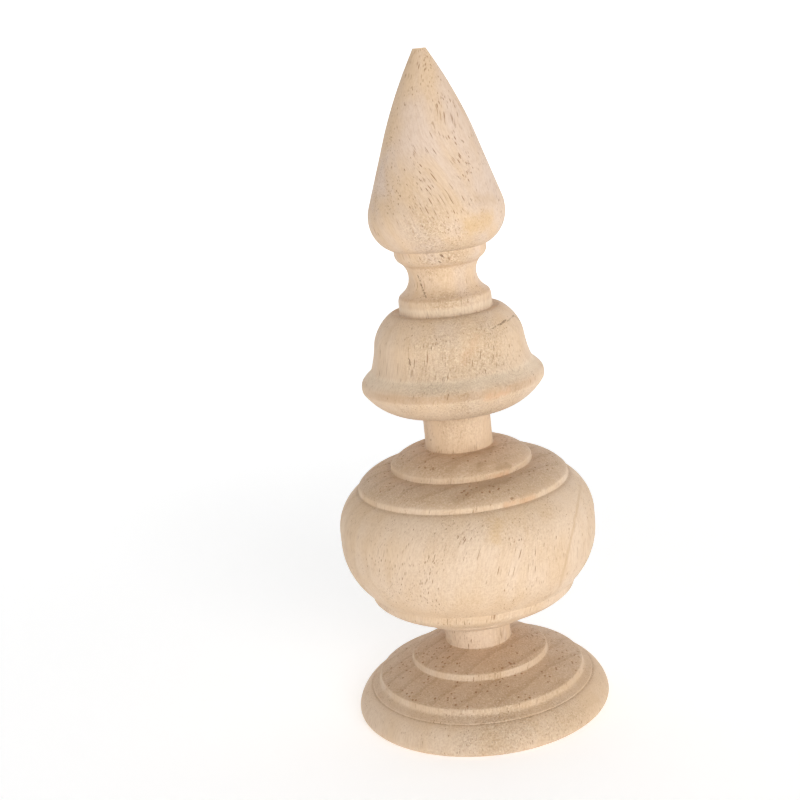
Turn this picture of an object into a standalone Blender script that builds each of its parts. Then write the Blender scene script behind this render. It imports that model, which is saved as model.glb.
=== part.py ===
"""Turned wooden finial for the top of a newel post, standing upright on its underside.

It is one piece of wood, turned about the Z axis. From the bottom up it has a stepped foot, a neck, a ball
with two steps below and two above, a second neck, a bell, a scotia between two rings, and a pointed cap
with a small flat tip. Rises stack upwards from the underside, and radii are taken from the turning axis.
"""

import math

import bmesh
import bpy

# Foot: a round rim with a narrow ledge on top
FOOT_UNDERSIDE_RADIUS = 0.0299
FOOT_RADIUS = 0.0313
RIM_LOWER_RISE = 0.0016
RIM_UPPER_RISE = 0.00535
RIM_UPPER_BULGE = 0.00075
RIM_TOP_RADIUS = 0.0276
FOOT_LEDGE_RISE = 0.0012

# Two steps that lead from the foot to the lower neck; their treads slope up and are slightly full
FOOT_WIDE_STEP_RADIUS = 0.02535
FOOT_WIDE_STEP_RISE = 0.0014
FOOT_WIDE_TREAD_RISE = 0.0032
FOOT_NARROW_STEP_RADIUS = 0.0168
FOOT_NARROW_STEP_RISE = 0.0015
FOOT_NARROW_TREAD_RISE = 0.00275
FOOT_TREAD_BULGE = 0.0003

# The two straight necks
LOWER_NECK_RADIUS = 0.0081
LOWER_NECK_RISE = 0.0063
UPPER_NECK_RADIUS = 0.0081
UPPER_NECK_RISE = 0.0101

# Two steps under the ball
UNDER_NARROW_TREAD_RISE = 0.0028
UNDER_NARROW_STEP_RADIUS = 0.0167
UNDER_NARROW_STEP_RISE = 0.0012
UNDER_WIDE_TREAD_RISE = 0.0036
UNDER_WIDE_STEP_RADIUS = 0.0249
UNDER_WIDE_STEP_RISE = 0.0015
UNDER_TREAD_BULGE = 0.0009

# Ball: two round flanks that meet an upright belly
BALL_BOTTOM_RADIUS = 0.0247
BALL_LOWER_RISE = 0.01285
BALL_RADIUS = 0.0310
BALL_BELLY_RISE = 0.0031
BALL_UPPER_RISE = 0.0094
BALL_TOP_RADIUS = 0.0260

# Two steps over the ball, each with a full, rolled tread
OVER_LEDGE_RISE = 0.0001
OVER_WIDE_STEP_RADIUS = 0.0254
OVER_WIDE_STEP_RISE = 0.0011
OVER_WIDE_TREAD_RISE = 0.00335
OVER_NARROW_STEP_RADIUS = 0.0170
OVER_NARROW_STEP_RISE = 0.0012
OVER_NARROW_TREAD_RISE = 0.0034
OVER_TREAD_BULGE = 0.0012

# Bell: a flat underside, a lip with a rounded nose, a slightly hollow wall and a round shoulder
BELL_UNDERSIDE_RADIUS = 0.0149
BELL_UNDERCUT_RISE = 0.0055
BELL_UNDERCUT_BULGE = 0.00067
BELL_LIP_RADIUS = 0.02165
BELL_NOSE_RISE = 0.00245
BELL_NOSE_RADIUS = 0.02145
BELL_NOSE_BULGE = 0.0002
BELL_ROLL_RISE = 0.00185
BELL_ROLL_RADIUS = 0.0193
BELL_ROLL_BULGE = 0.00012
BELL_WALL_RISE = 0.0072
BELL_WALL_RADIUS = 0.0177
BELL_WALL_HOLLOW = 0.00025
BELL_SHOULDER_RISE = 0.0065
BELL_SHOULDER_RADIUS = 0.0129
BELL_SHOULDER_BULGE = 0.00077

# Waist: a lower ring, a scotia, a quarter round and an upper ring
LOWER_RING_FOOT_DROP = 0.0004
LOWER_RING_RADIUS = 0.0110
LOWER_RING_RISE = 0.0027
LOWER_RING_TOP_RADIUS = 0.0105
LOWER_RING_TOP_RISE = 0.0016
SCOTIA_RISE = 0.0075
SCOTIA_TOP_RADIUS = 0.0093
SCOTIA_HOLLOW = 0.0019
UPPER_RING_ROUND_RISE = 0.0024
UPPER_RING_RADIUS = 0.01085
UPPER_RING_RISE = 0.0009

# Cap: a rounded seat, a widest line low down, a straight side, and a slightly full point
CAP_SEAT_RADIUS = 0.0117
CAP_SEAT_RISE = 0.0002
CAP_LOWER_RISE = 0.0076
CAP_LOWER_BULGE = 0.00127
CAP_RADIUS = 0.01595
CAP_TURN_RISE = 0.0030
CAP_TURN_RADIUS = 0.01535
CAP_SIDE_RISE = 0.0160
CAP_SIDE_RADIUS = 0.0100
CAP_POINT_RISE = 0.0180
CAP_POINT_BULGE = 0.00045
TIP_RADIUS = 0.0015

# Flat faces round the turning axis, and short lines along each curve
SEGMENTS = 48
LONG_CURVE_STEPS = 5
SHORT_CURVE_STEPS = 3
FLAT_CURVE_STEPS = 2

WOOD_COLOUR = (0.78, 0.58, 0.38, 1.0)
WOOD_ROUGHNESS = 0.6
SHARP_ANGLE = math.radians(24)


class TurnedOutline:
    """Half of a turned outline, drawn upwards from the edge of the underside."""

    def __init__(self, radius):
        self.points = [(radius, 0.0)]

    def line(self, radius, rise=0.0):
        """Straight to a radius that lies a rise above the last point."""
        height = self.points[-1][1]
        self.points.append((radius, height + rise))

    def curve(self, radius, rise, bulge, steps):
        """Circular arc whose middle stands out from its chord by the bulge, or in where that is negative."""
        start_radius, start_height = self.points[-1]
        across = radius - start_radius
        chord = math.hypot(across, rise)
        half_turn = 2.0 * math.atan(2.0 * bulge / chord)
        arc_radius = chord / (2.0 * math.sin(half_turn))
        for step in range(1, steps + 1):
            turn = half_turn * (2.0 * step / steps - 1.0)
            along = chord / 2.0 + arc_radius * math.sin(turn)
            out = arc_radius * (math.cos(turn) - math.cos(half_turn))
            point_radius = start_radius + (along * across + out * rise) / chord
            point_height = start_height + (along * rise - out * across) / chord
            self.points.append((point_radius, point_height))

    def swell(self, radius, rise, steps):
        """Full round arc that stands upright at its wider end."""
        across = abs(radius - self.points[-1][0])
        bulge = math.hypot(across, rise) / 2.0 * math.tan(math.atan2(across, rise) / 2.0)
        self.curve(radius, rise, bulge, steps)


def draw_foot(outline):
    outline.swell(FOOT_RADIUS, RIM_LOWER_RISE, SHORT_CURVE_STEPS)
    outline.curve(RIM_TOP_RADIUS, RIM_UPPER_RISE, RIM_UPPER_BULGE, LONG_CURVE_STEPS)
    outline.line(FOOT_WIDE_STEP_RADIUS, FOOT_LEDGE_RISE)
    outline.line(FOOT_WIDE_STEP_RADIUS, FOOT_WIDE_STEP_RISE)
    outline.curve(FOOT_NARROW_STEP_RADIUS, FOOT_WIDE_TREAD_RISE, FOOT_TREAD_BULGE, FLAT_CURVE_STEPS)
    outline.line(FOOT_NARROW_STEP_RADIUS, FOOT_NARROW_STEP_RISE)
    outline.curve(LOWER_NECK_RADIUS, FOOT_NARROW_TREAD_RISE, FOOT_TREAD_BULGE, FLAT_CURVE_STEPS)
    outline.line(LOWER_NECK_RADIUS, LOWER_NECK_RISE)


def draw_ball(outline):
    outline.curve(UNDER_NARROW_STEP_RADIUS, UNDER_NARROW_TREAD_RISE, UNDER_TREAD_BULGE, SHORT_CURVE_STEPS)
    outline.line(UNDER_NARROW_STEP_RADIUS, UNDER_NARROW_STEP_RISE)
    outline.curve(UNDER_WIDE_STEP_RADIUS, UNDER_WIDE_TREAD_RISE, UNDER_TREAD_BULGE, SHORT_CURVE_STEPS)
    outline.line(UNDER_WIDE_STEP_RADIUS, UNDER_WIDE_STEP_RISE)
    outline.line(BALL_BOTTOM_RADIUS)
    outline.swell(BALL_RADIUS, BALL_LOWER_RISE, LONG_CURVE_STEPS)
    outline.line(BALL_RADIUS, BALL_BELLY_RISE)
    outline.swell(BALL_TOP_RADIUS, BALL_UPPER_RISE, LONG_CURVE_STEPS)
    outline.line(OVER_WIDE_STEP_RADIUS, OVER_LEDGE_RISE)
    outline.line(OVER_WIDE_STEP_RADIUS, OVER_WIDE_STEP_RISE)
    outline.curve(OVER_NARROW_STEP_RADIUS, OVER_WIDE_TREAD_RISE, OVER_TREAD_BULGE, SHORT_CURVE_STEPS)
    outline.line(OVER_NARROW_STEP_RADIUS, OVER_NARROW_STEP_RISE)
    outline.curve(UPPER_NECK_RADIUS, OVER_NARROW_TREAD_RISE, OVER_TREAD_BULGE, SHORT_CURVE_STEPS)
    outline.line(UPPER_NECK_RADIUS, UPPER_NECK_RISE)


def draw_bell(outline):
    outline.line(BELL_UNDERSIDE_RADIUS)
    outline.curve(BELL_LIP_RADIUS, BELL_UNDERCUT_RISE, BELL_UNDERCUT_BULGE, LONG_CURVE_STEPS)
    outline.curve(BELL_NOSE_RADIUS, BELL_NOSE_RISE, BELL_NOSE_BULGE, SHORT_CURVE_STEPS)
    outline.curve(BELL_ROLL_RADIUS, BELL_ROLL_RISE, BELL_ROLL_BULGE, FLAT_CURVE_STEPS)
    outline.curve(BELL_WALL_RADIUS, BELL_WALL_RISE, -BELL_WALL_HOLLOW, FLAT_CURVE_STEPS)
    outline.curve(BELL_SHOULDER_RADIUS, BELL_SHOULDER_RISE, BELL_SHOULDER_BULGE, LONG_CURVE_STEPS)


def draw_waist(outline):
    outline.line(LOWER_RING_RADIUS, -LOWER_RING_FOOT_DROP)
    outline.line(LOWER_RING_RADIUS, LOWER_RING_RISE)
    outline.swell(LOWER_RING_TOP_RADIUS, LOWER_RING_TOP_RISE, SHORT_CURVE_STEPS)
    outline.curve(SCOTIA_TOP_RADIUS, SCOTIA_RISE, -SCOTIA_HOLLOW, LONG_CURVE_STEPS)
    outline.swell(UPPER_RING_RADIUS, UPPER_RING_ROUND_RISE, SHORT_CURVE_STEPS)
    outline.line(UPPER_RING_RADIUS, UPPER_RING_RISE)


def draw_cap(outline):
    outline.line(CAP_SEAT_RADIUS, CAP_SEAT_RISE)
    outline.curve(CAP_RADIUS, CAP_LOWER_RISE, CAP_LOWER_BULGE, LONG_CURVE_STEPS)
    outline.swell(CAP_TURN_RADIUS, CAP_TURN_RISE, SHORT_CURVE_STEPS)
    outline.line(CAP_SIDE_RADIUS, CAP_SIDE_RISE)
    outline.curve(TIP_RADIUS, CAP_POINT_RISE, CAP_POINT_BULGE, LONG_CURVE_STEPS)


def make_wood():
    material = bpy.data.materials.new("wood")
    material.use_nodes = True
    shader = material.node_tree.nodes["Principled BSDF"]
    shader.inputs["Base Color"].default_value = WOOD_COLOUR
    shader.inputs["Roughness"].default_value = WOOD_ROUGHNESS
    shader.inputs["Metallic"].default_value = 0.0
    return material


def turn_on_axis(name, outline, material):
    """One closed body: a ring of points for each point of the outline, with a flat face at each end."""
    shape = bmesh.new()
    rings = []
    for radius, height in outline.points:
        ring = []
        for segment in range(SEGMENTS):
            angle = math.tau * segment / SEGMENTS
            ring.append(shape.verts.new((radius * math.cos(angle), radius * math.sin(angle), height)))
        rings.append(ring)
    shape.faces.new(reversed(rings[0]))
    shape.faces.new(rings[-1])
    for lower, upper in zip(rings, rings[1:]):
        for segment in range(SEGMENTS):
            after = (segment + 1) % SEGMENTS
            shape.faces.new((lower[segment], lower[after], upper[after], upper[segment]))
    mesh = bpy.data.meshes.new(name)
    shape.to_mesh(mesh)
    shape.free()
    mesh.shade_smooth()
    mesh.set_sharp_from_angle(angle=SHARP_ANGLE)
    mesh.materials.append(material)
    turned = bpy.data.objects.new(name, mesh)
    bpy.context.scene.collection.objects.link(turned)
    return turned


for leftover in list(bpy.data.objects):
    bpy.data.objects.remove(leftover)

finial_outline = TurnedOutline(FOOT_UNDERSIDE_RADIUS)
draw_foot(finial_outline)
draw_ball(finial_outline)
draw_bell(finial_outline)
draw_waist(finial_outline)
draw_cap(finial_outline)
turn_on_axis("finial", finial_outline, make_wood())
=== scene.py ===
import math

import bmesh
import bpy
from mathutils import Matrix, Vector, noise


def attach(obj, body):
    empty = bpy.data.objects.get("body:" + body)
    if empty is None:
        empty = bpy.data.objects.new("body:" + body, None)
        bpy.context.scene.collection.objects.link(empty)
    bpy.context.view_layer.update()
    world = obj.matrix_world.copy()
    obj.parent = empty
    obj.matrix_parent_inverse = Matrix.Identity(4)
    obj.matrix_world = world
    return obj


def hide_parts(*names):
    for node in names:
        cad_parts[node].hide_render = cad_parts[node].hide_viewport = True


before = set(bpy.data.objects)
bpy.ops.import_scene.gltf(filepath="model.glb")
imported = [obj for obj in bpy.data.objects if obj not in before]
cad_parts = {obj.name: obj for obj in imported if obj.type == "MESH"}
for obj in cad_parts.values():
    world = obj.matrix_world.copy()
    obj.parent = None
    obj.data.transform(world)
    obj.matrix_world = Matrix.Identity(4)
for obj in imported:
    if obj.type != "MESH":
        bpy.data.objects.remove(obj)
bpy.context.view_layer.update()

# Foot of the finial: the widest turning, which stands on the post. The whole finial is one piece of
# rubberwood, turned between centres, and its outline is drawn from the underside upwards. The foot's rim is
# rounded over, a fine line is cut at its top, and two steps with sloping treads lead up to the neck.
FOOT_UNDERSIDE_RADIUS = 0.0299
FOOT_RADIUS = 0.0313
RIM_LOWER_RISE = 0.0016
RIM_UPPER_RISE = 0.00535
RIM_UPPER_BULGE = 0.00075
RIM_TOP_RADIUS = 0.0276
FOOT_LEDGE_RISE = 0.0012
FOOT_WIDE_STEP_RADIUS = 0.02535
FOOT_WIDE_STEP_RISE = 0.0014
FOOT_WIDE_TREAD_RISE = 0.0032
FOOT_NARROW_STEP_RADIUS = 0.0168
FOOT_NARROW_STEP_RISE = 0.0015
FOOT_NARROW_TREAD_RISE = 0.00275
FOOT_TREAD_BULGE = 0.0003
CRISP = 0.00022
SANDED = 0.00036
WELL_SANDED = 0.00062
OUTLINE_STEP = 0.00005


class TurnedOutline:
    """Half of a turned outline, drawn upwards from the edge of the underside in short steps."""

    def __init__(self, radius):
        self.points = [(radius, 0.0)]
        self.softness = CRISP
        self.softnesses = [CRISP]

    def line(self, radius, rise=0.0):
        """Straight to a radius that lies a rise above the last point."""
        self.curve(radius, rise, 0.0)

    def curve(self, radius, rise, bulge):
        """Circular arc whose middle stands out from its chord by the bulge, or in if that is negative."""
        start_radius, start_height = self.points[-1]
        across = radius - start_radius
        chord = math.hypot(across, rise)
        steps = max(2, round(chord / OUTLINE_STEP))
        for step in range(1, steps + 1):
            along = chord * step / steps
            out = 0.0
            if bulge:
                half_turn = 2.0 * math.atan(2.0 * bulge / chord)
                turn = half_turn * (2.0 * step / steps - 1.0)
                arc_radius = chord / (2.0 * math.sin(half_turn))
                along = chord / 2.0 + arc_radius * math.sin(turn)
                out = arc_radius * (math.cos(turn) - math.cos(half_turn))
            point_radius = start_radius + (along * across + out * rise) / chord
            point_height = start_height + (along * rise - out * across) / chord
            self.points.append((point_radius, point_height))
            self.softnesses.append(self.softness)

    def swell(self, radius, rise):
        """Full round arc that stands upright at its wider end."""
        across = abs(radius - self.points[-1][0])
        bulge = math.hypot(across, rise) / 2.0 * math.tan(math.atan2(across, rise) / 2.0)
        self.curve(radius, rise, bulge)


outline = TurnedOutline(FOOT_UNDERSIDE_RADIUS)
outline.softness = SANDED
outline.swell(FOOT_RADIUS, RIM_LOWER_RISE)
outline.curve(RIM_TOP_RADIUS, RIM_UPPER_RISE, RIM_UPPER_BULGE)
rim_line_place = outline.points[-1]
outline.line(FOOT_WIDE_STEP_RADIUS, FOOT_LEDGE_RISE)
outline.line(FOOT_WIDE_STEP_RADIUS, FOOT_WIDE_STEP_RISE)
outline.curve(FOOT_NARROW_STEP_RADIUS, FOOT_WIDE_TREAD_RISE, FOOT_TREAD_BULGE)
outline.line(FOOT_NARROW_STEP_RADIUS, FOOT_NARROW_STEP_RISE)

# Ball and the two straight necks it sits between: still the same turned wood. Two steps are cut under
# the ball and two over it, and the treads of all four are slightly rolled. The necks are the thinnest cuts
# of the lower half.
LOWER_NECK_RADIUS = 0.0081
LOWER_NECK_RISE = 0.0063
UNDER_NARROW_TREAD_RISE = 0.0028
UNDER_NARROW_STEP_RADIUS = 0.0167
UNDER_NARROW_STEP_RISE = 0.0012
UNDER_WIDE_TREAD_RISE = 0.0036
UNDER_WIDE_STEP_RADIUS = 0.0249
UNDER_WIDE_STEP_RISE = 0.0015
UNDER_TREAD_BULGE = 0.0009
BALL_BOTTOM_RADIUS = 0.0247
BALL_LOWER_RISE = 0.01285
BALL_RADIUS = 0.0310
BALL_BELLY_RISE = 0.0031
BALL_UPPER_RISE = 0.0094
BALL_TOP_RADIUS = 0.0260
OVER_LEDGE_RISE = 0.0001
OVER_WIDE_STEP_RADIUS = 0.0254
OVER_WIDE_STEP_RISE = 0.0011
OVER_WIDE_TREAD_RISE = 0.00335
OVER_NARROW_STEP_RADIUS = 0.0170
OVER_NARROW_STEP_RISE = 0.0012
OVER_NARROW_TREAD_RISE = 0.0034
OVER_TREAD_BULGE = 0.0012
UPPER_NECK_RADIUS = 0.0081
UPPER_NECK_RISE = 0.0101

outline.curve(LOWER_NECK_RADIUS, FOOT_NARROW_TREAD_RISE, FOOT_TREAD_BULGE)
outline.softness = CRISP
outline.line(LOWER_NECK_RADIUS, LOWER_NECK_RISE)
outline.softness = SANDED
outline.curve(UNDER_NARROW_STEP_RADIUS, UNDER_NARROW_TREAD_RISE, UNDER_TREAD_BULGE)
outline.line(UNDER_NARROW_STEP_RADIUS, UNDER_NARROW_STEP_RISE)
outline.curve(UNDER_WIDE_STEP_RADIUS, UNDER_WIDE_TREAD_RISE, UNDER_TREAD_BULGE)
outline.line(UNDER_WIDE_STEP_RADIUS, UNDER_WIDE_STEP_RISE)
outline.line(BALL_BOTTOM_RADIUS)
outline.swell(BALL_RADIUS, BALL_LOWER_RISE)
outline.line(BALL_RADIUS, BALL_BELLY_RISE)
outline.swell(BALL_TOP_RADIUS, BALL_UPPER_RISE)
outline.softness = CRISP
outline.line(OVER_WIDE_STEP_RADIUS, OVER_LEDGE_RISE)
outline.line(OVER_WIDE_STEP_RADIUS, OVER_WIDE_STEP_RISE)
outline.curve(OVER_NARROW_STEP_RADIUS, OVER_WIDE_TREAD_RISE, OVER_TREAD_BULGE)
outline.line(OVER_NARROW_STEP_RADIUS, OVER_NARROW_STEP_RISE)
outline.curve(UPPER_NECK_RADIUS, OVER_NARROW_TREAD_RISE, OVER_TREAD_BULGE)
outline.line(UPPER_NECK_RADIUS, UPPER_NECK_RISE)

# Bell: the same turned wood, hollow in the wall and full in the shoulder, like a bell hung over the neck.
# Its lip has a rounded nose, the undercut below it is full, and a flat underside runs in to the neck.
BELL_UNDERSIDE_RADIUS = 0.0149
BELL_UNDERCUT_RISE = 0.0055
BELL_UNDERCUT_BULGE = 0.00067
BELL_LIP_RADIUS = 0.02165
BELL_NOSE_RISE = 0.00245
BELL_NOSE_RADIUS = 0.02145
BELL_NOSE_BULGE = 0.0002
BELL_ROLL_RISE = 0.00185
BELL_ROLL_RADIUS = 0.0193
BELL_ROLL_BULGE = 0.00012
BELL_WALL_RISE = 0.0072
BELL_WALL_RADIUS = 0.0177
BELL_WALL_HOLLOW = 0.00025
BELL_SHOULDER_RISE = 0.0065
BELL_SHOULDER_RADIUS = 0.0129
BELL_SHOULDER_BULGE = 0.00077

outline.line(BELL_UNDERSIDE_RADIUS)
outline.curve(BELL_LIP_RADIUS, BELL_UNDERCUT_RISE, BELL_UNDERCUT_BULGE)
outline.curve(BELL_NOSE_RADIUS, BELL_NOSE_RISE, BELL_NOSE_BULGE)
outline.softness = WELL_SANDED
outline.curve(BELL_ROLL_RADIUS, BELL_ROLL_RISE, BELL_ROLL_BULGE)
outline.curve(BELL_WALL_RADIUS, BELL_WALL_RISE, -BELL_WALL_HOLLOW)
outline.curve(BELL_SHOULDER_RADIUS, BELL_SHOULDER_RISE, BELL_SHOULDER_BULGE)

# Waist: a deep scotia, which is a hollow moulding, cut between a lower ring and an upper one in the same
# wood. The scotia runs out into a small quarter round under the upper ring.
LOWER_RING_FOOT_DROP = 0.0004
LOWER_RING_RADIUS = 0.0110
LOWER_RING_RISE = 0.0027
LOWER_RING_TOP_RADIUS = 0.0105
LOWER_RING_TOP_RISE = 0.0016
SCOTIA_RISE = 0.0075
SCOTIA_TOP_RADIUS = 0.0093
SCOTIA_HOLLOW = 0.0019
UPPER_RING_ROUND_RISE = 0.0024
UPPER_RING_RADIUS = 0.01085
UPPER_RING_RISE = 0.0009

outline.softness = CRISP
outline.line(LOWER_RING_RADIUS, -LOWER_RING_FOOT_DROP)
outline.line(LOWER_RING_RADIUS, LOWER_RING_RISE)
outline.swell(LOWER_RING_TOP_RADIUS, LOWER_RING_TOP_RISE)
outline.softness = SANDED
outline.curve(SCOTIA_TOP_RADIUS, SCOTIA_RISE, -SCOTIA_HOLLOW)
outline.softness = CRISP
outline.swell(UPPER_RING_RADIUS, UPPER_RING_ROUND_RISE)
outline.line(UPPER_RING_RADIUS, UPPER_RING_RISE)

# Cap: a bud with its widest line low down, a straight side and a slightly full point. The tip is a small
# flat stub, left where the turner parts the wood off, a little to one side of the turning axis.
CAP_SEAT_RADIUS = 0.0117
CAP_SEAT_RISE = 0.0002
CAP_LOWER_RISE = 0.0076
CAP_LOWER_BULGE = 0.00127
CAP_RADIUS = 0.01595
CAP_TURN_RISE = 0.0030
CAP_TURN_RADIUS = 0.01535
CAP_SIDE_RISE = 0.0160
CAP_SIDE_RADIUS = 0.0100
CAP_POINT_RISE = 0.0180
CAP_POINT_BULGE = 0.00045
TIP_RADIUS = 0.0015
TIP_OFFSET = -0.00022
TIP_OFFSET_START = 0.138

outline.line(CAP_SEAT_RADIUS, CAP_SEAT_RISE)
outline.curve(CAP_RADIUS, CAP_LOWER_RISE, CAP_LOWER_BULGE)
outline.softness = WELL_SANDED
outline.swell(CAP_TURN_RADIUS, CAP_TURN_RISE)
outline.line(CAP_SIDE_RADIUS, CAP_SIDE_RISE)
outline.softness = CRISP
outline.curve(TIP_RADIUS, CAP_POINT_RISE, CAP_POINT_BULGE)

# Skin of the turned wood: arrises eased by sandpaper, the fine cut line on the foot, and the slight
# unevenness that hand sanding leaves. One closed mesh stands for the whole piece of wood.
SEGMENTS = 192
EVEN_OUT = 12
RING_SPACING = 0.00085
RING_TURN = math.radians(9.0)
RIM_LINE_WIDTH = 0.00016
RIM_LINE_DEPTH = 0.00013
UNEVEN_DEPTH = 0.00005
UNEVEN_SIZE = 0.007
SHARP_ANGLE = math.radians(60.0)
RIM_LINE_DROP = 0.6
EASE_REACH = 3.0


def eased(points, softnesses):
    """The outline with its arrises and corners eased, each as much as it was sanded."""
    last = len(points) - 1
    smooth = []
    for index in range(len(points)):
        around = softnesses[max(index - EVEN_OUT, 0):index + EVEN_OUT + 1]
        softness = sum(around) / len(around)
        reach = round(EASE_REACH * softness / OUTLINE_STEP)
        total = 0.0
        radius = 0.0
        height = 0.0
        for offset in range(-reach, reach + 1):
            weight = math.exp(-0.5 * (offset * OUTLINE_STEP / softness) ** 2)
            near = points[min(max(index + offset, 0), last)]
            total += weight
            radius += near[0] * weight
            height += near[1] * weight
        smooth.append((radius / total, height / total))
    smooth[0] = (smooth[0][0], 0.0)
    smooth[-1] = (smooth[-1][0], points[-1][1])
    return smooth


def with_cut_line(points, place):
    """The outline with a fine turned line cut into it at a place."""
    cut = []
    for radius, height in points:
        away = math.dist((radius, height), place) / RIM_LINE_WIDTH
        depth = RIM_LINE_DEPTH * math.exp(-away * away)
        cut.append((radius - depth, height - depth * RIM_LINE_DROP))
    return cut


def ring_places(points):
    """The points where the mesh gets a ring: closer together where the outline turns."""
    kept = [points[0]]
    gathered = 0.0
    heading = None
    for before, after in zip(points, points[1:]):
        step = math.dist(before, after)
        new_heading = math.atan2(after[1] - before[1], after[0] - before[0])
        turn = 0.0 if heading is None else abs(math.remainder(new_heading - heading, math.tau))
        heading = new_heading
        gathered += step / RING_SPACING + turn / RING_TURN
        if gathered >= 1.0:
            kept.append(after)
            gathered = 0.0
    if kept[-1] != points[-1]:
        kept.append(points[-1])
    return kept


def turn_piece(name, points):
    """Closed mesh turned round the axis, a little uneven, whose tip leans to one side."""
    top = points[-1][1]
    shape = bmesh.new()
    rings = []
    for radius, height in points:
        past_start = max(0.0, (height - TIP_OFFSET_START) / (top - TIP_OFFSET_START))
        aside = TIP_OFFSET * past_start * past_start
        ring = []
        for segment in range(SEGMENTS):
            angle = math.tau * segment / SEGMENTS
            place = Vector((radius * math.cos(angle), radius * math.sin(angle), height))
            hollow = UNEVEN_DEPTH * (0.5 + 0.5 * noise.noise(place / UNEVEN_SIZE))
            sanded = max(radius - hollow, 0.0)
            across = sanded * math.cos(angle) + aside
            ring.append(shape.verts.new((across, sanded * math.sin(angle), height)))
        rings.append(ring)
    shape.faces.new(reversed(rings[0]))
    shape.faces.new(rings[-1])
    for lower, upper in zip(rings, rings[1:]):
        for segment in range(SEGMENTS):
            after = (segment + 1) % SEGMENTS
            shape.faces.new((lower[segment], lower[after], upper[after], upper[segment]))
    mesh = bpy.data.meshes.new(name)
    shape.to_mesh(mesh)
    shape.free()
    mesh.shade_smooth()
    mesh.set_sharp_from_angle(angle=SHARP_ANGLE)
    piece = bpy.data.objects.new(name, mesh)
    bpy.context.scene.collection.objects.link(piece)
    return piece


sanded_outline = eased(outline.points, outline.softnesses)
skin = ring_places(with_cut_line(sanded_outline, rim_line_place))
finial = turn_piece("turned_finial", skin)
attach(finial, "root")
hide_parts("finial")

# The wood itself: unfinished rubberwood, sawn from a plank, turned and sanded but not oiled or painted.
# Its long open pores follow the grain, which drifts across the piece. Where the grain dives into the
# surface, the cut is a little torn and stippled. Places and sizes in this section are in millimetres.
CREAM = (0.785, 0.605, 0.442, 1.0)
PALE_CREAM = (0.745, 0.583, 0.463, 1.0)
TAN = (0.745, 0.545, 0.36, 1.0)
END_GRAIN_BROWN = (0.57, 0.395, 0.25, 1.0)
RING_BROWN = (0.64, 0.44, 0.265, 1.0)
TREAD_BROWN = (0.42, 0.255, 0.135, 1.0)
PORE_BROWN = (0.34, 0.145, 0.05, 1.0)
# The two torn colours below are the light and dark flecks of torn grain, and also the painted light and
# painted shade of the bands round the bell lip and the rings
TORN_AND_PAINTED_LIGHT = (0.93, 0.76, 0.57, 1.0)
TORN_DARK_AND_PAINTED_SHADE = (0.50, 0.30, 0.165, 1.0)
FINIAL_HEIGHT = 160.0
MILLIMETRES_IN_METRE = 1000.0

wood = bpy.data.materials.new("rubberwood")
wood.use_nodes = True
tree = wood.node_tree
shader = tree.nodes["Principled BSDF"]


def put(value, socket):
    """Joins a socket to another one, or sets it to a value."""
    if isinstance(value, bpy.types.NodeSocket):
        tree.links.new(value, socket)
    else:
        socket.default_value = value


def reckon(operation, *values):
    node = tree.nodes.new("ShaderNodeMath")
    node.operation = operation
    for socket, value in zip(node.inputs, values):
        put(value, socket)
    return node.outputs[0]


def reckon_place(operation, *values):
    node = tree.nodes.new("ShaderNodeVectorMath")
    node.operation = operation
    for socket, value in zip(node.inputs, values):
        put(value, socket)
    gives_number = operation in ("DISTANCE", "LENGTH", "DOT_PRODUCT")
    return node.outputs["Value" if gives_number else "Vector"]


def scaled_place(place, factor):
    node = tree.nodes.new("ShaderNodeVectorMath")
    node.operation = "SCALE"
    put(place, node.inputs[0])
    put(factor, node.inputs["Scale"])
    return node.outputs[0]


def join_place(across, back, height):
    node = tree.nodes.new("ShaderNodeCombineXYZ")
    for socket, value in zip(node.inputs, (across, back, height)):
        put(value, socket)
    return node.outputs[0]


def split_place(place):
    node = tree.nodes.new("ShaderNodeSeparateXYZ")
    put(place, node.inputs[0])
    return node.outputs


def soft_step(value, low, high, start=0.0, end=1.0):
    """Goes smoothly from the start to the end as the value goes from low to high."""
    node = tree.nodes.new("ShaderNodeMapRange")
    node.interpolation_type = "SMOOTHSTEP"
    for socket, given in zip(node.inputs, (value, low, high, start, end)):
        put(given, socket)
    return node.outputs[0]


def within(value, limits):
    """1 between the two middle limits, falling softly to 0 at the outer two."""
    start, full, fading, end = limits
    return reckon("MULTIPLY", soft_step(value, start, full), soft_step(value, fading, end, 1.0, 0.0))


def mottle(place, size, detail=2.0, roughness=0.5):
    """Soft random value between 0 and 1, whose lumps have about the given size."""
    node = tree.nodes.new("ShaderNodeTexNoise")
    put(place, node.inputs["Vector"])
    node.inputs["Scale"].default_value = 1.0 / size
    node.inputs["Detail"].default_value = detail
    node.inputs["Roughness"].default_value = roughness
    return node.outputs[0]


def about_nought(share, reach):
    """A value between 0 and 1 moved to lie about 0, and spread over the reach."""
    return reckon("MULTIPLY", reckon("SUBTRACT", share, 0.5), reach)


def by_height(points, low, high):
    """Value that follows the given (height, value) points up the piece."""
    node = tree.nodes.new("ShaderNodeFloatCurve")
    curve = node.mapping.curves[0]
    while len(curve.points) < len(points):
        curve.points.new(0.5, 0.5)
    for spot, (height, value) in zip(curve.points, points):
        spot.location = (height / FINIAL_HEIGHT, (value - low) / (high - low))
    node.mapping.update()
    put(height_share, node.inputs["Value"])
    return reckon("MULTIPLY_ADD", node.outputs[0], high - low, low)


def blend_colour(share, base, top):
    node = tree.nodes.new("ShaderNodeMix")
    node.data_type = "RGBA"
    put(share, node.inputs[0])
    put(base, node.inputs[6])
    put(top, node.inputs[7])
    return node.outputs[2]


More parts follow.
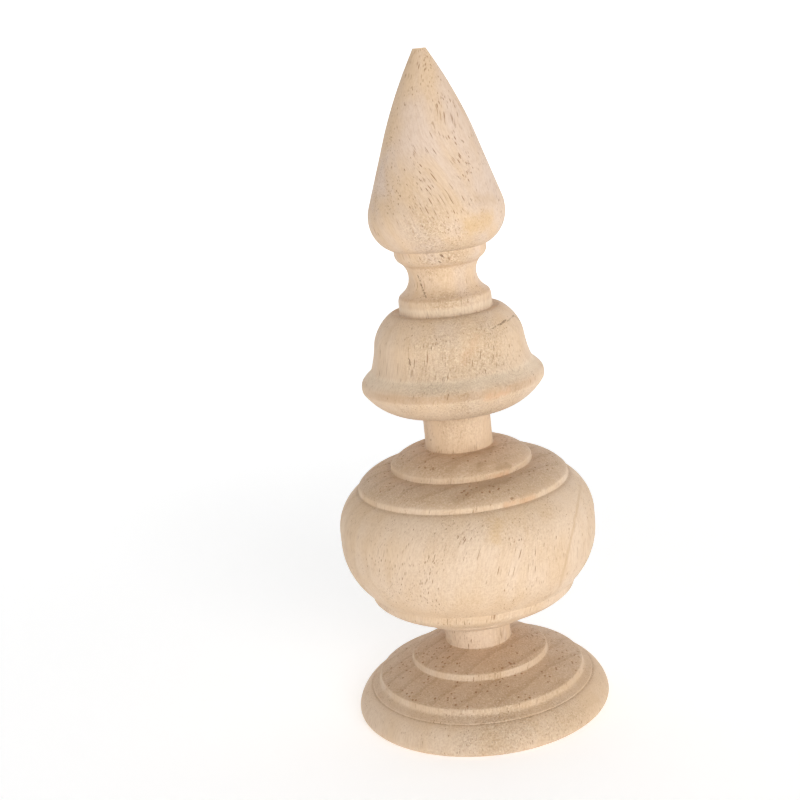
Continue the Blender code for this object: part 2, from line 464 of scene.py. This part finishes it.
surface = tree.nodes.new("ShaderNodeTexCoord")
place = scaled_place(surface.outputs["Object"], MILLIMETRES_IN_METRE)
side, depth, height = split_place(place)
height_share = reckon("DIVIDE", height, FINIAL_HEIGHT)
facing = tree.nodes.new("ShaderNodeNewGeometry").outputs["Normal"]
facing_up = reckon("ABSOLUTE", split_place(facing)[2])
round_away = reckon_place("LENGTH", join_place(side, depth, 0.0))

# Grain: lengthwise fibres that drift across and back on the way up, and wander a little
GRAIN_DRIFT_ACROSS = (
    (0.0, 0.0), (48.0, 8.5), (98.0, 21.5), (107.0, 21.6), (120.0, 17.8), (128.0, 14.2), (138.0, 8.2),
    (146.0, 5.0), (160.0, 6.2))
GRAIN_DRIFT_BACK = (
    (0.0, 0.0), (30.0, 3.0), (60.0, 4.0), (100.0, 10.0), (118.0, 14.0), (135.0, 18.5), (160.0, 25.0))
DRIFT_RANGE = 40.0
WANDER_SIZE = 22.0
WANDER_REACH = 6.0
wander = about_nought(mottle(place, WANDER_SIZE, 1.0), WANDER_REACH)
drift_across = by_height(GRAIN_DRIFT_ACROSS, -DRIFT_RANGE, DRIFT_RANGE)
drift_back = by_height(GRAIN_DRIFT_BACK, -DRIFT_RANGE, DRIFT_RANGE)
fibre_across = reckon("ADD", reckon("SUBTRACT", side, drift_across), wander)
fibre_back = reckon("ADD", reckon("SUBTRACT", depth, drift_back), wander)
fibre = join_place(fibre_across, fibre_back, height)


def along_fibre(lengthwise):
    """Place in the grain with its height shrunk, so that what is drawn there comes out drawn long."""
    return join_place(fibre_across, fibre_back, reckon("MULTIPLY", height, lengthwise))


# Broad colour: soft lengthwise streaks, lighter and browner areas, and a paler top
STREAK_SIZE = 4.5
STREAK_LENGTHWISE = 0.09
STREAK_WEIGHT = 0.46
AREA_SIZE = 19.0
AREA_WEIGHT = 0.54
TONE_RANGE = (0.38, 0.62)
PALE_RANGE = (85.0, 125.0)
streaks = mottle(along_fibre(STREAK_LENGTHWISE), STREAK_SIZE)
areas = mottle(place, AREA_SIZE)
tone = reckon("ADD", reckon("MULTIPLY", streaks, STREAK_WEIGHT), reckon("MULTIPLY", areas, AREA_WEIGHT))
light_wood = blend_colour(soft_step(height, *PALE_RANGE), CREAM, PALE_CREAM)
colour = blend_colour(soft_step(tone, *TONE_RANGE), light_wood, TAN)

# Growth rings: faint brown lines round a heart that lies far outside the piece
HEART_ACROSS = -46.0
HEART_BACK = 38.0
RING_GAP = 5.4
RING_WAVE_SIZE = 9.0
RING_WAVE_SHARE = 0.5
RING_LINE = (0.60, 0.96, 0.97, 1.0)
RING_PATCH_SIZE = 16.0
RING_PATCH_RANGE = (0.42, 0.68)
FAINTEST_RING = 0.03
STRONGEST_RING = 0.34
from_heart = join_place(
    reckon("SUBTRACT", fibre_across, HEART_ACROSS), reckon("SUBTRACT", fibre_back, HEART_BACK), 0.0)
ring_count = reckon("DIVIDE", reckon_place("LENGTH", from_heart), RING_GAP)
ring_wave = reckon("MULTIPLY", mottle(fibre, RING_WAVE_SIZE), RING_WAVE_SHARE)
ring_line = within(reckon("FRACT", reckon("ADD", ring_count, ring_wave)), RING_LINE)
ring_patches = mottle(place, RING_PATCH_SIZE, 1.0)
ring_strength = soft_step(ring_patches, *RING_PATCH_RANGE, FAINTEST_RING, STRONGEST_RING)
colour = blend_colour(reckon("MULTIPLY", ring_line, ring_strength), colour, RING_BROWN)

# End grain: the treads are cut across the fibres, so they are browner and show the rings as arcs
FOOT_TREADS = (8.0, 9.2, 17.2, 18.5)
BALL_TREADS = (58.2, 59.2, 66.8, 68.0)
TREAD_ALLOWANCE = 0.22
END_GRAIN_FACING = (0.72, 1.0)
END_GRAIN_SHARE = 0.58
TREAD_FACING = (0.95, 1.12)
TREAD_RING_SHARE = 0.36
on_treads = reckon("ADD", within(height, FOOT_TREADS), within(height, BALL_TREADS))
cut_across = reckon("MULTIPLY_ADD", on_treads, TREAD_ALLOWANCE, facing_up)
end_grain = soft_step(cut_across, *END_GRAIN_FACING, 0.0, END_GRAIN_SHARE)
colour = blend_colour(end_grain, colour, END_GRAIN_BROWN)
tread_ring_strength = soft_step(cut_across, *TREAD_FACING, 0.0, TREAD_RING_SHARE)
colour = blend_colour(reckon("MULTIPLY", ring_line, tread_ring_strength), colour, TREAD_BROWN)

# Pores: short dark open lines along the fibres, in groups, and more of them on the cap
PORE_CORE = 0.5
PORE_GROUP_SIZE = 6.0
PORE_GROUP_LENGTHWISE = 0.35
PORE_GROUP_RANGE = (0.44, 0.60)
PORE_CAP_RANGE = (112.0, 128.0)
PORES_BELOW = 0.8
PORES_ON_CAP = 1.5
FINE_PORE_GAP = 0.36
FINE_PORE_LENGTH_GAP = 7.0
FINE_PORE_REACH = 0.30
FINE_PORE_SHARES = (0.12, 0.85)
FINE_PORE_STRENGTH = 0.6
BOLD_PORE_GAP = 0.576
BOLD_PORE_LENGTH_GAP = 7.7
BOLD_PORE_REACH = 0.21
BOLD_PORE_SHARES = (0.10, 0.80)
BOLD_PORE_SEED = 7.3
pore_groups = mottle(along_fibre(PORE_GROUP_LENGTHWISE), PORE_GROUP_SIZE)
pores_by_height = soft_step(height, *PORE_CAP_RANGE, PORES_BELOW, PORES_ON_CAP)


def random_cells(place, scale):
    """Distance from the middle of the nearest of many random cells, and a random value for that cell."""
    node = tree.nodes.new("ShaderNodeTexVoronoi")
    put(place, node.inputs["Vector"])
    node.inputs["Scale"].default_value = scale
    chance = tree.nodes.new("ShaderNodeSeparateColor")
    put(node.outputs["Color"], chance.inputs[0])
    return node.outputs["Distance"], chance.outputs[0]


def pores(gap, length_gap, seed, reach, shares):
    lengthwise = reckon("ADD", reckon("DIVIDE", height, length_gap), seed)
    across = reckon("DIVIDE", fibre_across, gap)
    back = reckon("DIVIDE", fibre_back, gap)
    away, chance = random_cells(join_place(across, back, lengthwise), 1.0)
    crowd = reckon("MULTIPLY", soft_step(pore_groups, *PORE_GROUP_RANGE, *shares), pores_by_height)
    open_pore = reckon("LESS_THAN", chance, crowd)
    return reckon("MULTIPLY", soft_step(away, reach * PORE_CORE, reach, 1.0, 0.0), open_pore)


fine_pores = pores(FINE_PORE_GAP, FINE_PORE_LENGTH_GAP, 0.0, FINE_PORE_REACH, FINE_PORE_SHARES)
bold_pores = pores(BOLD_PORE_GAP, BOLD_PORE_LENGTH_GAP, BOLD_PORE_SEED, BOLD_PORE_REACH, BOLD_PORE_SHARES)
pore = reckon("MAXIMUM", reckon("MULTIPLY", fine_pores, FINE_PORE_STRENGTH), bold_pores)

# Pores cut across: small dark dots in groups on the treads
TREAD_PORE_GAP = 1.1
TREAD_PORE_REACH = 0.32
TREAD_PORE_SHARES = (0.06, 0.80)
TREAD_PORE_GROUP_RANGE = (0.44, 0.58)
tread_pore_away, tread_chance = random_cells(place, 1.0 / TREAD_PORE_GAP)
tread_groups = mottle(place, PORE_GROUP_SIZE, 1.0)
tread_crowd = soft_step(tread_groups, *TREAD_PORE_GROUP_RANGE, *TREAD_PORE_SHARES)
tread_dots = soft_step(tread_pore_away, TREAD_PORE_REACH * PORE_CORE, TREAD_PORE_REACH, 1.0, 0.0)
tread_dots = reckon("MULTIPLY", tread_dots, reckon("LESS_THAN", tread_chance, tread_crowd))
pore = reckon("MAXIMUM", pore, reckon("MULTIPLY", tread_dots, soft_step(cut_across, *TREAD_FACING)))

# Torn grain: fine stipple on the front and the back, where the fibres dive into the surface
TORN_BY_HEIGHT = (
    (0.0, 0.8), (9.0, 0.7), (15.0, 0.45), (45.0, 0.35), (60.0, 0.40), (70.0, 0.55), (84.0, 0.95),
    (98.0, 0.75), (104.0, 0.75), (109.0, 0.55), (115.0, 1.0), (122.0, 0.80), (130.0, 0.2), (160.0, 0.15))
TORN_LEAN = 0.15
TORN_FACING = (0.60, 0.98)
TORN_NEAREST_AXIS = 0.5
TORN_PATCH_SIZE = 8.0
TORN_PATCH_RANGE = (0.30, 0.60)
TORN_PATCH_LEAST = 0.45
TORN_ON_END_GRAIN = 0.75
TORN_SIZE = 0.48
TORN_DETAIL = 3.0
TORN_ROUGHNESS = 0.8
TORN_LIGHT_RANGE = (0.52, 0.61)
TORN_DARK_RANGE = (0.46, 0.35)
TORN_LIGHT_SHARE = 0.80
TORN_DARK_SHARE = 0.85
PORE_SHARE = 0.84
to_front = reckon("SUBTRACT", depth, reckon("MULTIPLY", side, TORN_LEAN))
axis_away = reckon("MAXIMUM", round_away, TORN_NEAREST_AXIS)
front_share = reckon("ABSOLUTE", reckon("DIVIDE", to_front, axis_away))
torn_where = reckon("MULTIPLY", soft_step(front_share, *TORN_FACING), by_height(TORN_BY_HEIGHT, 0.0, 1.0))
torn_patches = soft_step(mottle(place, TORN_PATCH_SIZE), *TORN_PATCH_RANGE, TORN_PATCH_LEAST, 1.0)
torn_where = reckon("MULTIPLY", torn_where, torn_patches)
torn_where = reckon("MAXIMUM", torn_where, reckon("MULTIPLY", end_grain, TORN_ON_END_GRAIN))
torn_grit = mottle(place, TORN_SIZE, TORN_DETAIL, TORN_ROUGHNESS)
torn_light = reckon("MULTIPLY", soft_step(torn_grit, *TORN_LIGHT_RANGE), torn_where)
torn_dark = reckon("MULTIPLY", soft_step(torn_grit, *TORN_DARK_RANGE), torn_where)
colour = blend_colour(reckon("MULTIPLY", torn_light, TORN_LIGHT_SHARE), colour, TORN_AND_PAINTED_LIGHT)
colour = blend_colour(reckon("MULTIPLY", torn_dark, TORN_DARK_SHARE), colour, TORN_DARK_AND_PAINTED_SHADE)
colour = blend_colour(reckon("MULTIPLY", pore, PORE_SHARE), colour, PORE_BROWN)

# Painted light and shade in bands round the bell lip and the rings: painted shade on the front just above
# the lip's edge, where the torn grain is also thickest, thin lines of painted shade at the rings' edges,
# and painted light in the hollows of the lip's cove and the lower ring's foot, which would fall into shade.
# Each band has its height, how far from it the band starts to fade, how far from it the band ends, and its
# strength.
LIP_PAINTED_SHADE = (83.7, 0.5, 1.3, 0.42)
LIP_COVE_PAINTED_LIGHT = (86.4, 0.4, 1.6, 0.55)
LOWER_RING_FOOT_PAINTED_LIGHT = (101.2, 0.5, 1.5, 0.6)
LOWER_RING_EDGE_PAINTED_SHADE = (104.1, 0.1, 0.55, 0.32)
UPPER_RING_EDGE_PAINTED_SHADE = (111.6, 0.1, 0.55, 0.36)
RING_FOOT_LIGHT_RADII = (11.1, 11.5)
FRONT_DEPTHS = (-6.0, -14.0)


def band(middle, inner, outer, strength):
    away = reckon("ABSOLUTE", reckon("SUBTRACT", height, middle))
    return soft_step(away, inner, outer, strength, 0.0)


painted_shade_front = soft_step(depth, *FRONT_DEPTHS)
painted_light_ring_foot = soft_step(round_away, *RING_FOOT_LIGHT_RADII, 1.0, 0.0)
# Painted shade on the front just above the lip's edge, over the thickest torn grain
colour = blend_colour(reckon("MULTIPLY", band(*LIP_PAINTED_SHADE), painted_shade_front), colour, TORN_DARK_AND_PAINTED_SHADE)
# Painted light in the cove above the lip, where the hollow would fall into shade
colour = blend_colour(band(*LIP_COVE_PAINTED_LIGHT), colour, TORN_AND_PAINTED_LIGHT)
# Painted light at the lower ring's foot, against the shade of the corner there
colour = blend_colour(reckon("MULTIPLY", band(*LOWER_RING_FOOT_PAINTED_LIGHT), painted_light_ring_foot), colour, TORN_AND_PAINTED_LIGHT)
# Thin lines of painted shade at the lower ring's top and under the upper ring
colour = blend_colour(band(*LOWER_RING_EDGE_PAINTED_SHADE), colour, TORN_DARK_AND_PAINTED_SHADE)
colour = blend_colour(band(*UPPER_RING_EDGE_PAINTED_SHADE), colour, TORN_DARK_AND_PAINTED_SHADE)

# Marks of this piece: small cracks, specks and stains, each along a short line between two places, with its
# width, its strength and its colour
CRACK_BROWN = (0.22, 0.115, 0.06, 1.0)
SPECK_BROWN = (0.36, 0.185, 0.09, 1.0)
STAIN_ORANGE = (0.74, 0.43, 0.24, 1.0)
STAIN_OCHRE = (0.70, 0.455, 0.20, 1.0)
SCOTIA_CRACK_TOP = ((-5.70, -5.81, 109.5), (-5.12, -6.36, 107.4))
SCOTIA_CRACK_MIDDLE = ((-5.12, -6.36, 107.4), (-4.61, -7.69, 105.8))
SCOTIA_CRACK_END = ((-4.61, -7.69, 105.8), (-4.32, -8.75, 105.0))
SHOULDER_CRACK_FRONT = ((9.97, -12.93, 97.0), (11.93, -10.82, 97.4))
SHOULDER_CRACK_MIDDLE = ((11.93, -10.82, 97.3), (13.55, -8.50, 97.75))
SHOULDER_CRACK_BACK = ((13.75, -8.20, 97.4), (15.62, -3.39, 97.6))
SHOULDER_CRACK_FORK = ((15.7, -3.3, 97.4), (17.0, -1.49, 95.8))
RING_SPECK_HIGH = ((0.1, -10.85, 114.4), (0.5, -10.83, 114.1))
RING_SPECK_RIGHT = ((1.7, -10.65, 113.8), (1.8, -10.55, 113.5))
RING_SPECK_LEFT = ((-1.3, -10.75, 114.0), (-1.3, -10.72, 113.8))
RING_SPECK_LOW = ((-0.5, -10.45, 113.0), (0.0, -10.40, 112.8))
WALL_SPECK = ((-9.41, -15.30, 92.3), (-9.34, -15.55, 91.2))
TREAD_SPECK = ((10.5, -22.6, 59.6), (10.9, -22.4, 59.1))
BALL_SMUDGE = ((6.71, -26.97, 56.2), (5.79, -29.63, 52.5))
WALL_STAIN = ((6.57, -15.64, 95.9), (2.89, -17.89, 91.3))
LIP_STAIN = ((7.4, -20.1, 82.9), (11.9, -18.1, 83.2))
CAP_STAIN = ((7.4, -13.6, 120.6), (11.2, -11.2, 121.4))
CAP_BROWN_GRAIN = ((9.4, -11.9, 126.4), (13.2, -8.8, 125.4))
RISER_STAIN = ((6.2, -15.8, 62.8), (10.2, -13.6, 62.8))
WIDE_RISER_STAIN = ((9.5, -23.6, 58.4), (15.5, -20.1, 58.4))
TREAD_EDGE_STAIN = ((8.2, -14.1, 64.1), (10.8, -12.2, 64.1))
TREAD_STREAK_HIGH = ((3.0, -9.0, 66.9), (-2.8, -14.6, 65.4))
TREAD_STREAK_RIGHT = ((7.6, -6.0, 66.9), (3.6, -15.3, 64.8))
TREAD_STREAK_LOW = ((9.5, -17.5, 62.4), (-1.0, -23.0, 60.9))
RAGGED_REACH = 1.1
CLOUD_SIZE = 2.2
CLOUD_REACH = 3.0
MARK_CORE = 0.5
MARK_END = 1.3


def line_away(ends):
    """Distance from the straight line between two places."""
    along = Vector(ends[1]) - Vector(ends[0])
    from_start = reckon_place("SUBTRACT", place, ends[0])
    share = reckon("DIVIDE", reckon_place("DOT_PRODUCT", from_start, tuple(along)), along.length_squared)
    share = reckon("MINIMUM", reckon("MAXIMUM", share, 0.0), 1.0)
    return reckon_place("DISTANCE", from_start, scaled_place(tuple(along), share))


ragged = about_nought(torn_grit, RAGGED_REACH)
cloudy = about_nought(mottle(place, CLOUD_SIZE), CLOUD_REACH)
for ends, width, strength, mark_colour in (
        (SCOTIA_CRACK_TOP, 0.24, 0.70, CRACK_BROWN),
        (SCOTIA_CRACK_MIDDLE, 0.20, 0.80, CRACK_BROWN),
        (SCOTIA_CRACK_END, 0.20, 0.65, CRACK_BROWN),
        (SHOULDER_CRACK_FRONT, 0.14, 0.50, CRACK_BROWN),
        (SHOULDER_CRACK_MIDDLE, 0.26, 0.75, CRACK_BROWN),
        (SHOULDER_CRACK_BACK, 0.20, 0.70, CRACK_BROWN),
        (SHOULDER_CRACK_FORK, 0.16, 0.60, CRACK_BROWN),
        (RING_SPECK_HIGH, 0.26, 0.80, CRACK_BROWN),
        (RING_SPECK_RIGHT, 0.28, 0.80, SPECK_BROWN),
        (RING_SPECK_LEFT, 0.22, 0.80, SPECK_BROWN),
        (RING_SPECK_LOW, 0.20, 0.70, CRACK_BROWN),
        (WALL_SPECK, 0.26, 0.80, CRACK_BROWN),
        (TREAD_SPECK, 0.34, 0.80, SPECK_BROWN)):
    away = reckon("ADD", line_away(ends), ragged)
    mark = soft_step(away, width * MARK_CORE, width * MARK_END, strength, 0.0)
    colour = blend_colour(mark, colour, mark_colour)
for ends, width, strength, stain_colour in (
        (BALL_SMUDGE, 2.2, 0.36, STAIN_OCHRE),
        (WALL_STAIN, 1.8, 0.22, STAIN_ORANGE),
        (LIP_STAIN, 1.5, 0.45, STAIN_ORANGE),
        (CAP_STAIN, 4.4, 0.62, STAIN_OCHRE),
        (CAP_BROWN_GRAIN, 2.2, 0.46, RING_BROWN),
        (RISER_STAIN, 1.2, 0.50, STAIN_ORANGE),
        (WIDE_RISER_STAIN, 1.2, 0.45, STAIN_ORANGE),
        (TREAD_EDGE_STAIN, 1.1, 0.50, TREAD_BROWN),
        (TREAD_STREAK_HIGH, 2.6, 0.36, TREAD_BROWN),
        (TREAD_STREAK_RIGHT, 1.7, 0.52, TREAD_BROWN),
        (TREAD_STREAK_LOW, 3.0, 0.36, TREAD_BROWN)):
    stain = soft_step(reckon("ADD", line_away(ends), cloudy), 0.0, width, strength, 0.0)
    colour = blend_colour(stain, colour, stain_colour)

# A faint swirl of grain low on the bell's right, and one growth ring that shows as a line on the ball
SWIRL_HEART = (14.25, -12.33, 88.4)
SWIRL_FLATNESS = (1.0, 0.8, 1.0)
SWIRL_GAP = 1.05
SWIRL_WAVE = 0.60
SWIRL_LINE = (0.45, 0.9)
SWIRL_REACH = (1.4, 4.8)
SWIRL_SHARE = 0.34
SWIRL_PATCH_SIZE = 1.7
SWIRL_PATCH_RANGE = (0.44, 0.58)
swirl_place = reckon_place("MULTIPLY", reckon_place("SUBTRACT", place, SWIRL_HEART), SWIRL_FLATNESS)
swirl_away = reckon_place("LENGTH", swirl_place)
swirl_count = reckon("ADD", reckon("DIVIDE", swirl_away, SWIRL_GAP), reckon("MULTIPLY", cloudy, SWIRL_WAVE))
swirl = soft_step(reckon("FRACT", swirl_count), *SWIRL_LINE)
swirl = reckon("MULTIPLY", swirl, soft_step(swirl_away, *SWIRL_REACH, SWIRL_SHARE, 0.0))
swirl = reckon("MULTIPLY", swirl, soft_step(mottle(place, SWIRL_PATCH_SIZE), *SWIRL_PATCH_RANGE))
colour = blend_colour(swirl, colour, TREAD_BROWN)

BALL_RING_SLANT = (0.946, -0.119, -0.300)
BALL_RING_OFFSET = 10.22
BALL_RING_WAVE = 0.25
BALL_RING_WIDTH = (0.10, 0.55)
BALL_RING_SHARE = 0.60
BALL_RING_HEIGHTS = (33.0, 37.0, 54.0, 57.0)
ball_ring_away = reckon("SUBTRACT", reckon_place("DOT_PRODUCT", place, BALL_RING_SLANT), BALL_RING_OFFSET)
ball_ring_away = reckon("ADD", ball_ring_away, reckon("MULTIPLY", cloudy, BALL_RING_WAVE))
ball_ring = soft_step(reckon("ABSOLUTE", ball_ring_away), *BALL_RING_WIDTH, BALL_RING_SHARE, 0.0)
ball_ring = reckon("MULTIPLY", ball_ring, within(height, BALL_RING_HEIGHTS))
colour = blend_colour(ball_ring, colour, RING_BROWN)

# Fine fibres all over, and turning and sanding lines round the axis
FIBRE_SIZE = 0.32
FIBRE_LENGTHWISE = 0.16
FIBRE_ROUGHNESS = 0.6
FIBRE_RANGE = (0.38, 0.70)
FIBRE_SHARE = 0.26
SAND_LINES_PER_MILLIMETRE = 3.0
SAND_LINE_CHANGE = 0.12
fibre_grit = mottle(along_fibre(FIBRE_LENGTHWISE), FIBRE_SIZE, 2.0, FIBRE_ROUGHNESS)
colour = blend_colour(soft_step(fibre_grit, *FIBRE_RANGE, 0.0, FIBRE_SHARE), colour, TORN_DARK_AND_PAINTED_SHADE)
sand_place = join_place(
    reckon("MULTIPLY", round_away, SAND_LINES_PER_MILLIMETRE),
    reckon("MULTIPLY", height, SAND_LINES_PER_MILLIMETRE),
    reckon("MULTIPLY", side, SAND_LINE_CHANGE))
sand_lines = mottle(sand_place, 1.0)

# Depth of it all, in millimetres, and the dull bare surface
PORE_RELIEF = -0.10
TORN_RELIEF = 0.50
SAND_RELIEF = 0.02
FIBRE_RELIEF = 0.03
STREAK_RANGE = (0.3, 0.7)
ROUGHNESS_RANGE = (0.56, 0.68)
SPECULAR_LEVEL = 0.30
SHEEN = 0.05
SHEEN_ROUGHNESS = 0.35
relief = reckon("MULTIPLY", pore, PORE_RELIEF)
relief = reckon("MULTIPLY_ADD", reckon("MULTIPLY", torn_where, torn_grit), TORN_RELIEF, relief)
relief = reckon("MULTIPLY_ADD", sand_lines, SAND_RELIEF, relief)
relief = reckon("MULTIPLY_ADD", fibre_grit, FIBRE_RELIEF, relief)
bump = tree.nodes.new("ShaderNodeBump")
bump.inputs["Strength"].default_value = 1.0
bump.inputs["Distance"].default_value = 1.0 / MILLIMETRES_IN_METRE
put(relief, bump.inputs["Height"])

put(colour, shader.inputs["Base Color"])
put(soft_step(streaks, *STREAK_RANGE, *ROUGHNESS_RANGE), shader.inputs["Roughness"])
put(bump.outputs[0], shader.inputs["Normal"])
shader.inputs["Specular IOR Level"].default_value = SPECULAR_LEVEL
shader.inputs["Sheen Weight"].default_value = SHEEN
shader.inputs["Sheen Roughness"].default_value = SHEEN_ROUGHNESS
finial.data.materials.append(wood)

# Floor: a plain white table top of matt paper that reaches far out on every side and runs up behind as a
# backdrop. Like a light box it is lit a little from within, more so away from the finial, so that the
# finial's own soft shadow stays.
FLOOR_REACH = 40.0
FLOOR_FRONT = -40.0
FLOOR_SWEEP_START = 1.2
FLOOR_SWEEP_RADIUS = 0.8
FLOOR_TOP = 3.0
SWEEP_STEPS = 16
PAPER_WHITE = (0.88, 0.88, 0.88, 1.0)
PAPER_ROUGHNESS = 0.9
GLOW_WHITE = (1.0, 1.0, 1.0, 1.0)
FLOOR_GLOW = 0.42
BACKDROP_GLOW = 0.66
GLOW_NEAR = 0.08
GLOW_FAR = 0.60

sweep = [(FLOOR_FRONT, 0.0)]
for step in range(SWEEP_STEPS + 1):
    angle = math.radians(90.0 * step / SWEEP_STEPS)
    back = FLOOR_SWEEP_START + FLOOR_SWEEP_RADIUS * math.sin(angle)
    up = FLOOR_SWEEP_RADIUS * (1.0 - math.cos(angle))
    sweep.append((back, up))
sweep.append((FLOOR_SWEEP_START + FLOOR_SWEEP_RADIUS, FLOOR_TOP))
shape = bmesh.new()
rows = []
for back, up in sweep:
    left = shape.verts.new((-FLOOR_REACH, back, up))
    right = shape.verts.new((FLOOR_REACH, back, up))
    rows.append((left, right))
for lower, upper in zip(rows, rows[1:]):
    shape.faces.new((lower[0], lower[1], upper[1], upper[0]))
floor_mesh = bpy.data.meshes.new("floor")
shape.to_mesh(floor_mesh)
shape.free()
floor_mesh.shade_smooth()
floor = bpy.data.objects.new("floor", floor_mesh)
bpy.context.scene.collection.objects.link(floor)

paper = bpy.data.materials.new("white_paper")
paper.use_nodes = True
paper_tree = paper.node_tree
paper_shader = paper_tree.nodes["Principled BSDF"]
paper_shader.inputs["Base Color"].default_value = PAPER_WHITE
paper_shader.inputs["Roughness"].default_value = PAPER_ROUGHNESS
paper_shader.inputs["Emission Color"].default_value = GLOW_WHITE
paper_place = paper_tree.nodes.new("ShaderNodeTexCoord")
paper_away = paper_tree.nodes.new("ShaderNodeVectorMath")
paper_away.operation = "LENGTH"
paper_glow = paper_tree.nodes.new("ShaderNodeMapRange")
paper_glow.interpolation_type = "SMOOTHSTEP"
paper_glow.inputs["From Min"].default_value = GLOW_NEAR
paper_glow.inputs["From Max"].default_value = GLOW_FAR
paper_glow.inputs["To Min"].default_value = FLOOR_GLOW
paper_glow.inputs["To Max"].default_value = BACKDROP_GLOW
paper_tree.links.new(paper_place.outputs["Object"], paper_away.inputs[0])
paper_tree.links.new(paper_away.outputs["Value"], paper_glow.inputs["Value"])
paper_tree.links.new(paper_glow.outputs[0], paper_shader.inputs["Emission Strength"])
floor_mesh.materials.append(paper)

# Light: one large soft box in front on the right, with a weak one on the left and one on the right side,
# in a room with white walls and a dimmer ceiling, which itself shows as plain white past the floor's edge.
# Each box has its place, its size in metres and its power in watts.
KEY_BOX = ((0.28, -0.90, 0.28), (0.6, 0.5), 5.2)
FILL_BOX = ((-0.75, -0.55, 0.30), (0.6, 0.6), 0.22)
SIDE_BOX = ((0.95, 0.15, 0.30), (0.6, 0.6), 0.42)
BOX_AIM = Vector((0.0, 0.0, 0.08))
WALL_LIGHT = 0.34
CEILING_LIGHT = 0.27
WALL_TOP = 0.15
CEILING_START = 0.85
ROOM_WHITE = 1.0
ROOM_COLOUR = (1.0, 1.0, 1.0, 1.0)


def add_soft_box(name, place, size, power):
    lamp = bpy.data.lights.new(name, "AREA")
    lamp.shape = "RECTANGLE"
    lamp.size = size[0]
    lamp.size_y = size[1]
    lamp.energy = power
    box = bpy.data.objects.new(name, lamp)
    box.location = place
    box.rotation_euler = (BOX_AIM - Vector(place)).to_track_quat("-Z", "Y").to_euler()
    bpy.context.scene.collection.objects.link(box)


add_soft_box("key_box", *KEY_BOX)
add_soft_box("fill_box", *FILL_BOX)
add_soft_box("side_box", *SIDE_BOX)

room = bpy.data.worlds.new("white_room")
bpy.context.scene.world = room
room.use_nodes = True
room_tree = room.node_tree
background = room_tree.nodes["Background"]
background.inputs["Color"].default_value = ROOM_COLOUR
heading = room_tree.nodes.new("ShaderNodeTexCoord")
heading_split = room_tree.nodes.new("ShaderNodeSeparateXYZ")
upward = room_tree.nodes.new("ShaderNodeMapRange")
upward.interpolation_type = "SMOOTHSTEP"
upward.inputs["From Min"].default_value = WALL_TOP
upward.inputs["From Max"].default_value = CEILING_START
upward.inputs["To Min"].default_value = WALL_LIGHT
upward.inputs["To Max"].default_value = CEILING_LIGHT
seen_straight = room_tree.nodes.new("ShaderNodeLightPath").outputs["Is Camera Ray"]
room_light = room_tree.nodes.new("ShaderNodeMix")
room_light.inputs["B"].default_value = ROOM_WHITE
room_tree.links.new(heading.outputs["Generated"], heading_split.inputs[0])
room_tree.links.new(heading_split.outputs[2], upward.inputs["Value"])
room_tree.links.new(seen_straight, room_light.inputs["Factor"])
room_tree.links.new(upward.outputs[0], room_light.inputs["A"])
room_tree.links.new(room_light.outputs["Result"], background.inputs["Strength"])
bpy.context.scene.view_settings.view_transform = "Standard"

# Camera: in front and a little above, as the photograph was taken, and turned slightly on its own axis.
# Its place and aim come from the finial's outline in the photograph, with the finial upright on the floor.
CAMERA_PLACE = Vector((0.0, -0.32748, 0.16173))
CAMERA_AIM = Vector((-0.01305, 0.0, 0.07925))
CAMERA_ROLL = -0.109
FOCAL_PIXELS = 1414.0
PHOTO_PIXELS = 800.0
SENSOR_WIDTH = 36.0
NEAREST_SEEN = 0.01
STRAIGHT_UP = Vector((0.0, 0.0, 1.0))
forward = (CAMERA_AIM - CAMERA_PLACE).normalized()
level = forward.cross(STRAIGHT_UP).normalized()
upright = level.cross(forward)
right = math.cos(CAMERA_ROLL) * level + math.sin(CAMERA_ROLL) * upright
above = -math.sin(CAMERA_ROLL) * level + math.cos(CAMERA_ROLL) * upright
camera_data = bpy.data.cameras.new("camera")
camera_data.sensor_width = SENSOR_WIDTH
camera_data.lens = SENSOR_WIDTH * FOCAL_PIXELS / PHOTO_PIXELS
camera_data.clip_start = NEAREST_SEEN
camera = bpy.data.objects.new("camera", camera_data)
camera_turn = Matrix((right, above, -forward)).transposed().to_4x4()
camera.matrix_world = Matrix.Translation(CAMERA_PLACE) @ camera_turn
bpy.context.scene.collection.objects.link(camera)
bpy.context.scene.camera = camera
